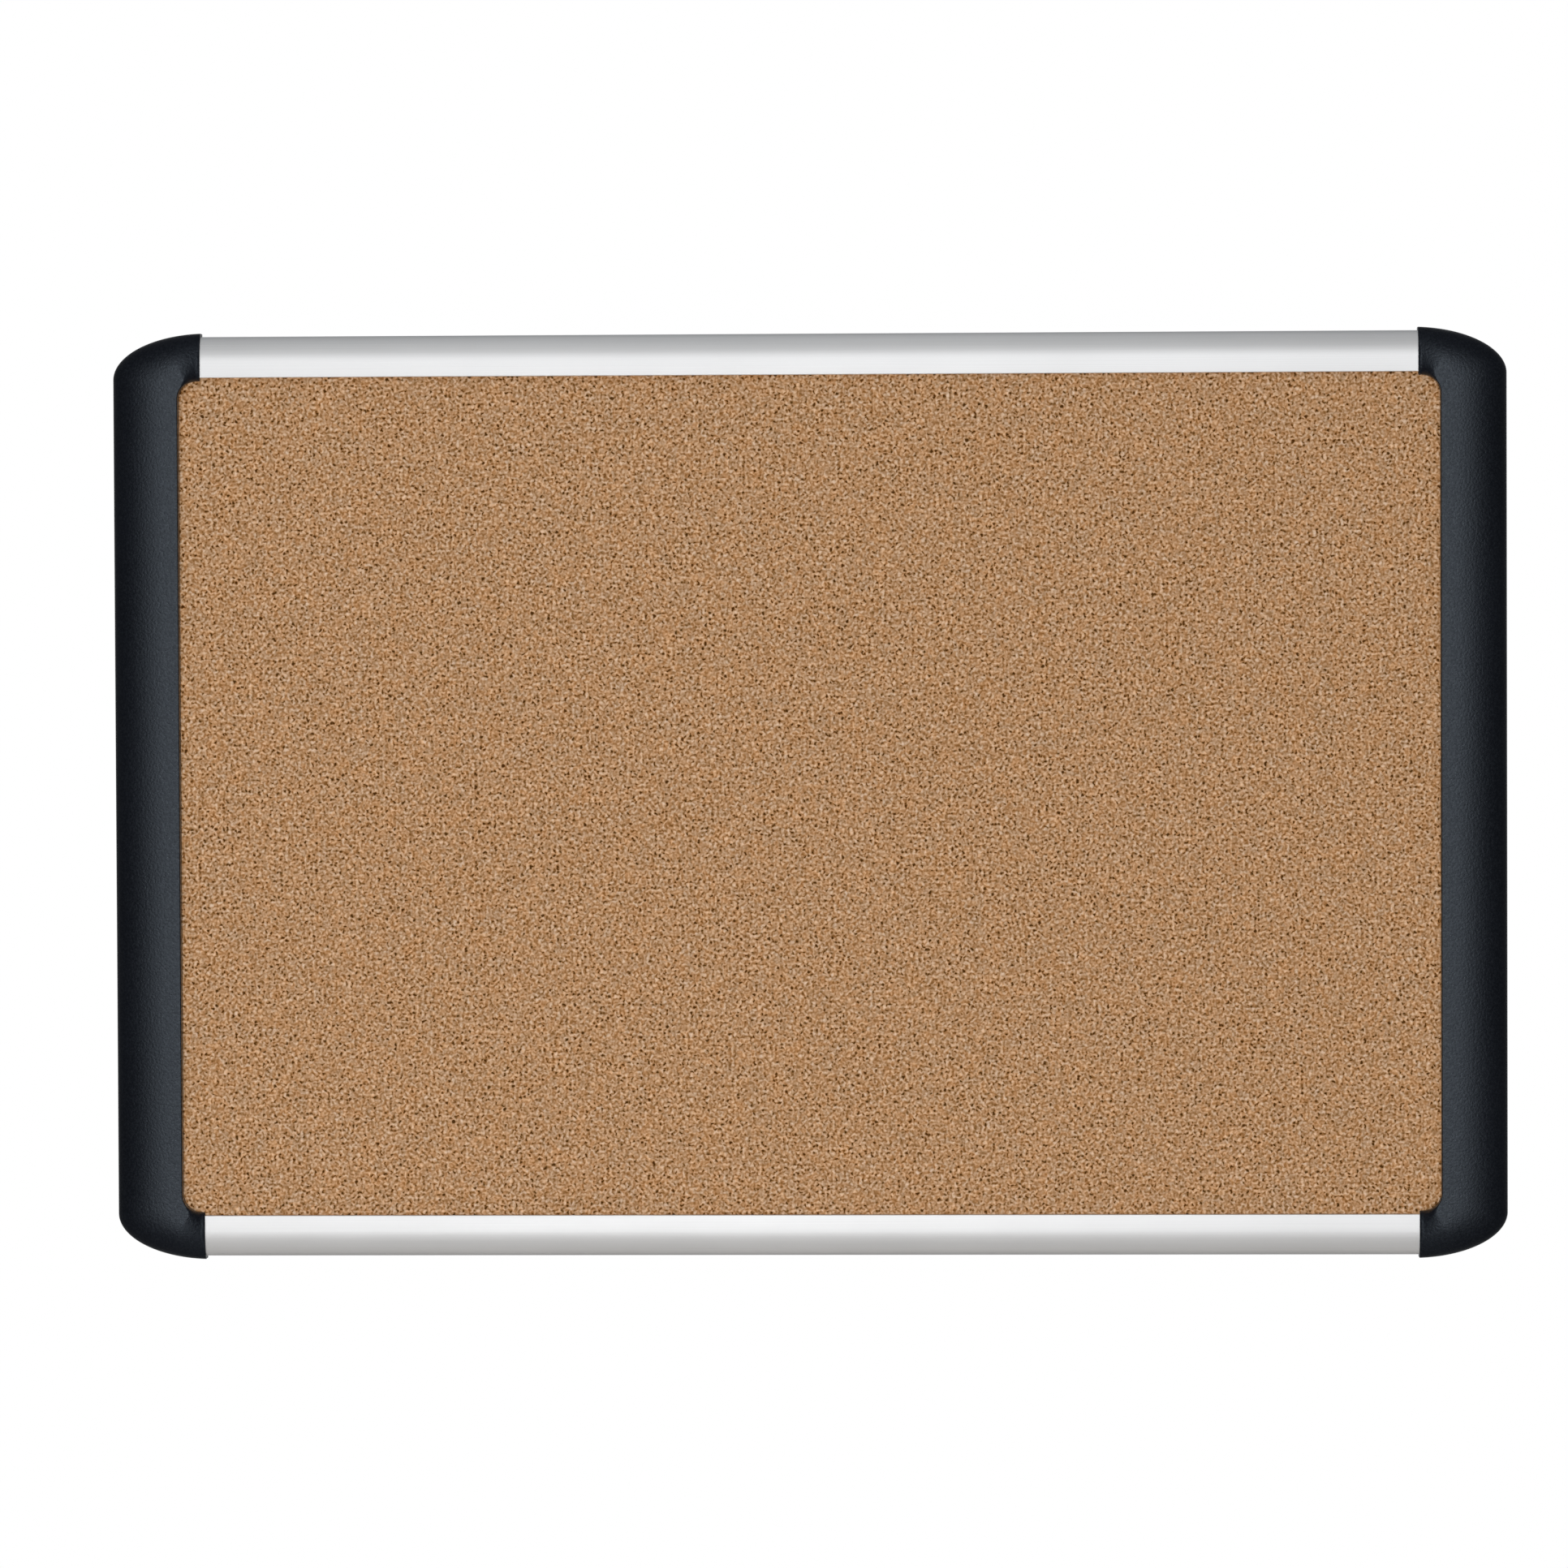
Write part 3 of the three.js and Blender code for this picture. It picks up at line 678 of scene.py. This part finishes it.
def screw_mesh():
    """A wafer-head screw with a cross recess, its head from y 0 towards +Y and its point towards -Y."""
    root = SCREW["root_radius"]
    rim_radius, rim_y = SCREW["edge"][-1]
    head = [(0, SCREW["root_y"]), (root, SCREW["root_y"]), (root, 0), *SCREW["edge"]]
    for i in range(1, 7):
        t = i / 6
        radius = rim_radius * (1 - t) + SCREW["flat_radius"] * t
        head.append((radius, rim_y + SCREW["dome_rise"] * math.sin(t * math.pi / 2)))
    head.append((0, SCREW["head_height"]))
    solid = spun(head, 40)

    slots = []
    for along_x in (True, False):
        loops = []
        for y, k in ((SCREW["recess_floor"], 0.45), (SCREW["recess_top"], 1.0)):
            u = SCREW["recess_length"] * k
            v = SCREW["recess_width"] * (0.7 + 0.3 * k)
            if not along_x:
                u, v = v, u
            loops.append([(-u, y, -v), (u, y, -v), (u, y, v), (-u, y, v)])
        slots.append(loft_mesh(loops))
    solid = combined(solid, slots, "DIFFERENCE")
    return combined(solid, [threaded_shank()], "UNION")


def grub_mesh():
    """A grub screw with a hexagon socket, standing in a key's hole against the rail's slot floor."""
    front, rear, radius = GRUB["front"], GRUB["rear"], GRUB["radius"]
    body = [
        (0, front),
        (GRUB["point"], front),
        (GRUB["point"] + 0.2, front + 0.1),
        (radius, front + 0.9),
        (radius, rear - 0.3),
        (GRUB["rear_radius"], rear),
        (0, rear),
    ]
    corners = [math.radians(60 * k) for k in range(6)]
    hexagon = [(GRUB_SOCKET["radius"] * math.cos(a), GRUB_SOCKET["radius"] * math.sin(a)) for a in corners]
    span = (rear - GRUB_SOCKET["depth"], rear + CUT_PAST)
    socket = loft_mesh([[(u, y, v) for u, v in hexagon] for y in span])
    return combined(spun(body, 36), [socket], "DIFFERENCE")


# ---- Shader helpers ----
class Shader:
    """Builds one material's nodes round its Principled BSDF."""

    def __init__(self, name, **sockets):
        self.material = bpy.data.materials.new(name)
        self.material.use_nodes = True
        self.tree = self.material.node_tree
        self.surface = self.tree.nodes["Principled BSDF"]
        for socket, value in sockets.items():
            self.surface.inputs[socket.replace("_", " ")].default_value = value
        self.place = self.node("ShaderNodeTexCoord").outputs["Object"]

    def node(self, kind, inputs=None, **settings):
        made = self.tree.nodes.new(kind)
        for key, value in settings.items():
            setattr(made, key, value)
        for key, value in (inputs or {}).items():
            if isinstance(value, bpy.types.NodeSocket):
                self.tree.links.new(value, made.inputs[key])
            else:
                made.inputs[key].default_value = value
        return made

    def math(self, operation, a, b=0.0, clamp=False):
        made = self.node("ShaderNodeMath", {0: a, 1: b}, operation=operation, use_clamp=clamp)
        return made.outputs[0]

    def ramp(self, factor, stops):
        """A colour ramp from (position, colour) pairs; a colour may be a grey level."""
        made = self.node("ShaderNodeValToRGB", {"Fac": factor})
        ramp = made.color_ramp
        while len(ramp.elements) < len(stops):
            ramp.elements.new(0.5)
        for element, (position, colour) in zip(ramp.elements, stops):
            element.position = position
            grey = isinstance(colour, (int, float))
            element.color = (colour, colour, colour, 1) if grey else (*colour, 1)
        return made.outputs["Color"]

    def mix(self, factor, a, b, blend="MIX"):
        made = self.node("ShaderNodeMix", data_type="RGBA", blend_type=blend)
        for socket, value in ((made.inputs[0], factor), (made.inputs[6], a), (made.inputs[7], b)):
            if isinstance(value, bpy.types.NodeSocket):
                self.tree.links.new(value, socket)
            elif isinstance(value, (int, float)) and socket.type == "RGBA":
                socket.default_value = (value, value, value, 1)
            elif socket.type == "RGBA":
                socket.default_value = (*value, 1)
            else:
                socket.default_value = value
        return made.outputs[2]

    def noise(self, scale, detail=2.0, roughness=0.5, place=None, dimensions="3D"):
        inputs = {"Vector": place or self.place, "Scale": scale, "Detail": detail, "Roughness": roughness}
        return self.node("ShaderNodeTexNoise", inputs, noise_dimensions=dimensions)

    def stretched(self, x, y, z):
        return self.node("ShaderNodeMapping", {"Vector": self.place, "Scale": (x, y, z)}).outputs[0]

    def bump(self, height, strength, distance):
        inputs = {"Height": height, "Strength": strength, "Distance": distance}
        normal = self.node("ShaderNodeBump", inputs).outputs[0]
        self.to("Normal", normal)

    def to(self, socket, value):
        self.tree.links.new(value, self.surface.inputs[socket])


def srgb(r, g, b):
    """An 8-bit sRGB colour as linear values."""
    def channel(v):
        v /= 255
        return v / 12.92 if v <= 0.04045 else ((v + 0.055) / 1.055) ** 2.4

    return channel(r), channel(g), channel(b)


# ---- Materials, with noise scales per metre and bump distances in metres ----
CRUMB_BEND = 0.0018


def cork_material():
    """Pressed cork: pale crumbs that wind round each other, with a darker pit or bit of bark in each."""
    s = Shader("cork", Roughness=0.9, Specular_IOR_Level=0.2)
    push = s.noise(600, 0.0)
    centred = {0: push.outputs["Color"], 1: (0.5, 0.5, 0.5)}
    shift = s.node("ShaderNodeVectorMath", centred, operation="SUBTRACT")
    shift = s.node("ShaderNodeVectorMath", {0: shift.outputs[0], "Scale": CRUMB_BEND}, operation="SCALE")
    bent = s.node("ShaderNodeVectorMath", {0: s.place, 1: shift.outputs[0]}, operation="ADD").outputs[0]
    bent = s.node("ShaderNodeSeparateXYZ", {0: bent})
    face = s.node("ShaderNodeCombineXYZ", {0: bent.outputs["X"], 1: bent.outputs["Z"]}).outputs[0]

    cells = s.node(
        "ShaderNodeTexVoronoi", {"Vector": face, "Scale": 390.0, "Randomness": 0.9}, voronoi_dimensions="2D"
    )
    each = s.node("ShaderNodeSeparateColor", {0: cells.outputs["Color"]})
    pit = s.ramp(cells.outputs["Distance"], [(0.0, 1.0), (0.25, 0.6), (0.5, 0.0)])
    pit = s.math("MULTIPLY", pit, s.math("ADD", s.math("MULTIPLY", each.outputs[0], 0.8), 0.6))
    crumbs = s.noise(560, 0.0, 0.5, face, "2D").outputs["Fac"]
    height = s.math("ADD", s.math("MULTIPLY", crumbs, 0.56), s.math("MULTIPLY", pit, -0.19))
    body = s.ramp(
        height,
        [
            (0.0, srgb(73, 43, 12)),
            (0.04, srgb(126, 85, 42)),
            (0.17, srgb(166, 124, 84)),
            (0.30, srgb(191, 152, 116)),
            (0.50, srgb(225, 192, 162)),
        ],
    )
    hue = s.ramp(each.outputs[1], [(0.0, (1.03, 0.965, 0.87)), (1.0, (0.97, 1.035, 1.13))])
    body = s.mix(1.0, body, hue, "MULTIPLY")
    patch = s.noise(70, 2.0, 0.6, face, "2D").outputs["Fac"]
    cloud = s.ramp(patch, [(0.3, (0.96, 0.98, 1.01)), (0.5, (1.0, 1.0, 1.0)), (0.7, (1.04, 1.015, 0.985))])
    s.to("Base Color", s.mix(1.0, body, cloud, "MULTIPLY"))
    s.bump(height, 0.5, 0.0005)
    return s.material


def aluminium_material():
    """Satin anodised extrusion: fine die lines along the rail and a soft, even gloss."""
    s = Shader("anodised_aluminium", Metallic=0.5)
    lines = s.noise(1.0, 3.0, 0.6, s.stretched(6, 2600, 2600))
    tone = s.ramp(lines.outputs["Fac"], [(0.3, (0.788, 0.793, 0.803)), (0.7, (0.838, 0.843, 0.853))])
    cloud = s.noise(14, 2.0)
    tone = s.mix(1.0, tone, s.ramp(cloud.outputs["Fac"], [(0.3, 0.97), (0.7, 1.0)]), "MULTIPLY")
    s.to("Base Color", tone)
    s.to("Roughness", s.ramp(lines.outputs["Fac"], [(0.25, 0.31), (0.75, 0.38)]))
    s.bump(lines.outputs["Fac"], 0.05, 0.00005)
    return s.material


def cover_material():
    """Dark blue-black moulding with a fine spark-eroded texture."""
    s = Shader("cover_plastic", Specular_IOR_Level=0.76, Specular_Tint=(0.77, 0.88, 1.0, 1))
    fine = s.noise(650, 2.0, 0.6)
    cloud = s.noise(9, 3.0)
    base = s.ramp(cloud.outputs["Fac"], [(0.35, (0.0026, 0.0032, 0.0054)), (0.65, (0.0036, 0.0043, 0.0070))])
    base = s.mix(s.ramp(fine.outputs["Fac"], [(0.42, 0.0), (0.7, 0.5)]), base, (0.010, 0.0115, 0.0155))
    s.to("Base Color", base)
    s.to("Roughness", s.ramp(fine.outputs["Fac"], [(0.32, 0.27), (0.68, 0.42)]))
    s.bump(fine.outputs["Fac"], 1.0, 0.00026)
    return s.material


def fibreboard_material():
    s = Shader("fibreboard", Roughness=0.95, Specular_IOR_Level=0.2)
    fibres = s.noise(1.0, 4.0, 0.7, s.stretched(500, 1600, 500))
    tones = [(0.3, srgb(112, 88, 62)), (0.55, srgb(152, 124, 92)), (0.75, srgb(180, 152, 116))]
    s.to("Base Color", s.ramp(fibres.outputs["Fac"], tones))
    s.bump(fibres.outputs["Fac"], 0.6, 0.0005)
    return s.material


def liner_material():
    """Brown kraft paper glued to the back of the board."""
    s = Shader("kraft_liner", Roughness=0.82, Specular_IOR_Level=0.3)
    fibres = s.noise(1.0, 4.0, 0.65, s.stretched(160, 400, 900))
    flecks = s.noise(700, 2.0, 0.5)
    tones = [(0.3, srgb(158, 128, 92)), (0.5, srgb(176, 146, 108)), (0.72, srgb(190, 162, 124))]
    base = s.ramp(fibres.outputs["Fac"], tones)
    base = s.mix(s.ramp(flecks.outputs["Fac"], [(0.62, 0.0), (0.74, 0.45)]), base, srgb(120, 92, 62))
    cloud = s.noise(5, 3.0)
    base = s.mix(1.0, base, s.ramp(cloud.outputs["Fac"], [(0.3, 0.92), (0.7, 1.0)]), "MULTIPLY")
    s.to("Base Color", base)
    s.bump(fibres.outputs["Fac"], 0.3, 0.0002)
    return s.material


def zinc_material():
    """Bright zinc-plated sheet steel with a faint rolled grain and plating clouds."""
    s = Shader("zinc_plate", Metallic=1.0, Roughness=0.35)
    grain = s.noise(1.0, 4.0, 0.6, s.stretched(250, 2500, 2500))
    cloud = s.noise(120, 3.0, 0.6)
    tones = [(0.3, (0.52, 0.54, 0.56)), (0.5, (0.62, 0.63, 0.64)), (0.7, (0.68, 0.68, 0.66))]
    s.to("Base Color", s.ramp(cloud.outputs["Fac"], tones))
    s.to("Roughness", s.ramp(grain.outputs["Fac"], [(0.3, 0.28), (0.7, 0.44)]))
    s.bump(grain.outputs["Fac"], 0.12, 0.00008)
    return s.material


def screw_material():
    s = Shader("screw_steel", Metallic=1.0, Roughness=0.3)
    cloud = s.noise(600, 3.0, 0.6)
    s.to("Base Color", s.ramp(cloud.outputs["Fac"], [(0.3, (0.42, 0.43, 0.44)), (0.7, (0.56, 0.57, 0.58))]))
    s.to("Roughness", s.ramp(cloud.outputs["Fac"], [(0.3, 0.24), (0.7, 0.4)]))
    s.bump(cloud.outputs["Fac"], 0.1, 0.00005)
    return s.material


MATERIALS = {
    "cork": cork_material(),
    "fibreboard": fibreboard_material(),
    "liner_paper": liner_material(),
    "aluminium": aluminium_material(),
    "cover_plastic": cover_material(),
    "zinc_steel": zinc_material(),
    "screw_steel": screw_material(),
}


def place(node, obj, slot, body="board"):
    """Makes obj the visible piece for a CAD node."""
    obj.name = f"{node}_look"
    obj.data.materials.clear()
    obj.data.materials.append(MATERIALS[slot])
    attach(obj, body)
    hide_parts(node)
    return obj


# ---- Assembly ----
def build_panel():
    layers = (
        ("cork_sheet", "cork", {"pitch": 12, "relief": 0.08, "edge": 0.25}),
        ("fibreboard_core", "fibreboard", {"pitch": 24, "relief": 0.0, "edge": 0.4}),
        ("back_liner", "liner_paper", {"pitch": 12, "relief": 0.12, "edge": 0.15, "seed": 7.0}),
    )
    for node, slot, shape in layers:
        place(node, finished("layer", sheet_mesh(node, **shape)), slot)


def build_frame():
    rail = rail_mesh()
    place("bottom_rail", finished("rail", turned(rail, True, True)), "aluminium")
    place("top_rail", finished("rail", rail), "aluminium")
    cover = cover_mesh()
    place("left_side_cover", finished("cover", turned(cover, True, True)), "cover_plastic")
    place("right_side_cover", finished("cover", cover), "cover_plastic")


def build_fasteners():
    key_rear_y = KEY_FRONT_Y + KEY["thickness"]
    clip_rear_y = CLIP_SEAT_Y + CLIP["thickness"]
    key = plate_mesh(key_loops(), key_rear_y, KEY["thickness"], KEY["edge"])
    screw = screw_mesh()
    grub = grub_mesh()

    def fastener(node, mesh, y=0.0):
        low, high = node_box(node)
        copy = mesh.copy()
        copy.transform(Matrix.Translation(((low.x + high.x) / 2, y, (low.z + high.z) / 2)))
        place(node, finished("fastener", copy), "screw_steel")

    for vertical, flip_z in (("top", False), ("bottom", True)):
        for side, flip_x in (("left", True), ("right", False)):
            corner = f"{vertical}_{side}"
            place(f"corner_key_{corner}", finished("key", turned(key, flip_x, flip_z)), "zinc_steel")
            fastener(f"key_grub_screw_{corner}", grub)
            for number in (1, 2):
                fastener(f"key_screw_{corner}_{number}", screw, key_rear_y)
    for side, sign in (("left", -1), ("right", 1)):
        clip = plate_mesh(clip_loops(side, sign), clip_rear_y, CLIP["thickness"], CLIP["edge"])
        for number, z in enumerate(CLIP_ZS, 1):
            copy = clip.copy()
            copy.transform(Matrix.Translation((0, 0, z)))
            place(f"panel_clip_{side}_{number}", finished("clip", copy), "zinc_steel")
            fastener(f"clip_screw_{side}_{number}", screw, clip_rear_y)


def build_hangers():
    for side in ("left", "right"):
        node = f"wall_hanger_{side}"
        low, high = node_box(node)
        mesh = plate_mesh(hanger_loops(node), high.y, high.y - low.y, HANGER["edge"])
        place(node, finished("hanger", mesh), "zinc_steel", f"{side}_hanger")


def build_camera():
    data = bpy.data.cameras.new("camera")
    data.lens = CAMERA_LENS
    data.sensor_width = CAMERA_SENSOR
    data.clip_end = CAMERA_REACH
    camera = bpy.data.objects.new("camera", data)
    SCENE.collection.objects.link(camera)
    turn = Matrix.Rotation(math.radians(CAMERA_YAW), 4, "Z")
    turn = turn @ Matrix.Rotation(math.radians(CAMERA_PITCH), 4, "X")
    turn = turn @ Matrix.Rotation(math.radians(CAMERA_ROLL), 4, "Y")
    turn = turn @ Matrix.Rotation(math.pi / 2, 4, "X")
    place_at = Matrix.Translation((CAMERA_X, -CAMERA_DISTANCE, CENTRE_Z * MM + CAMERA_RISE))
    camera.matrix_world = place_at @ turn
    SCENE.camera = camera


def build_world():
    """White to the camera, and to the board a dim studio with a softbox straight ahead."""
    world = bpy.data.worlds.new("studio")
    world.use_nodes = True
    SCENE.world = world
    tree = world.node_tree
    tree.nodes.clear()

    def node(kind, inputs=None, **settings):
        made = tree.nodes.new(kind)
        for key, value in settings.items():
            setattr(made, key, value)
        for key, value in (inputs or {}).items():
            if isinstance(value, bpy.types.NodeSocket):
                tree.links.new(value, made.inputs[key])
            else:
                made.inputs[key].default_value = value
        return made

    def calc(operation, a, b=0.0):
        return node("ShaderNodeMath", {0: a, 1: b}, operation=operation).outputs[0]

    direction = node("ShaderNodeSeparateXYZ", {0: node("ShaderNodeTexCoord").outputs["Generated"]})
    x, y, z = direction.outputs
    in_front = calc("LESS_THAN", y, 0.0)

    def glow(strength, middle_x, middle_z, reach_x, reach_z, side):
        across = calc("MULTIPLY", calc("SUBTRACT", x, middle_x), 1 / reach_x)
        up = calc("MULTIPLY", calc("SUBTRACT", z, middle_z), 1 / reach_z)
        away = calc("ADD", calc("MULTIPLY", across, across), calc("MULTIPLY", up, up))
        fall = calc("EXPONENT", calc("MULTIPLY", away, -1.0))
        return calc("MULTIPLY", calc("MULTIPLY", fall, side), strength)

    level = calc("ADD", glow(*WORLD_SOFTBOX, in_front), glow(*WORLD_HALO, in_front))
    behind = calc("SUBTRACT", 1.0, in_front)
    level = calc("ADD", level, glow(*WORLD_REAR, behind))
    level = calc("ADD", level, WORLD_AMBIENT)
    studio = node("ShaderNodeBackground", {"Strength": level})
    studio.inputs["Color"].default_value = (0.985, 0.992, 1.0, 1)
    white = node("ShaderNodeBackground", {"Strength": 1.0})
    white.inputs["Color"].default_value = (1, 1, 1, 1)
    seen = node("ShaderNodeLightPath").outputs["Is Camera Ray"]
    both = node("ShaderNodeMixShader", {0: seen, 1: studio.outputs[0], 2: white.outputs[0]})
    tree.links.new(both.outputs[0], node("ShaderNodeOutputWorld").inputs["Surface"])


def area_light(name, azimuth, elevation, distance, size, level, colour):
    """A soft round light aimed at the board, whose level is what it adds to a white surface that faces it."""
    data = bpy.data.lights.new(name, "AREA")
    data.shape = "DISK"
    data.size = size
    data.energy = level * (math.pi * distance) ** 2
    data.color = colour
    light = bpy.data.objects.new(name, data)
    SCENE.collection.objects.link(light)
    across, up = math.radians(azimuth), math.radians(elevation)
    away = Vector((math.cos(up) * math.sin(across), -math.cos(up) * math.cos(across), math.sin(up)))
    light.location = Vector((0, 0, CENTRE_Z * MM)) + away * distance
    light.rotation_euler = away.to_track_quat("Z", "Y").to_euler()
    light.visible_glossy = False
    light.visible_camera = False


def build_lights():
    for name, settings in STUDIO_LIGHTS.items():
        area_light(name, *settings)


def build_floor():
    """A pale floor that the camera sees, and that throws no light or shadow on the board."""
    floor_z = CAD_BOX[0][2] - FLOOR_DROP
    angles = [2 * math.pi * k / FLOOR_SEGMENTS for k in range(FLOOR_SEGMENTS)]
    ring = [(FLOOR_RADIUS * math.cos(a), FLOOR_RADIUS * math.sin(a), floor_z) for a in angles]
    mesh = bpy.data.meshes.new("floor")
    mesh.from_pydata(ring, [], [tuple(range(FLOOR_SEGMENTS))])
    floor = mesh_object("floor", mesh)
    s = Shader("pale_floor", Roughness=0.9, Specular_IOR_Level=0.2, Base_Color=(0.86, 0.86, 0.86, 1))
    s.surface.inputs["Emission Color"].default_value = (1.0, 1.0, 1.0, 1)
    s.surface.inputs["Emission Strength"].default_value = FLOOR_GLOW
    mesh.materials.append(s.material)
    floor.visible_diffuse = False
    floor.visible_glossy = False
    floor.visible_shadow = False


build_camera()
build_world()
build_lights()
build_floor()
build_panel()
build_frame()
build_fasteners()
build_hangers()
SCENE.view_settings.view_transform = "Standard"
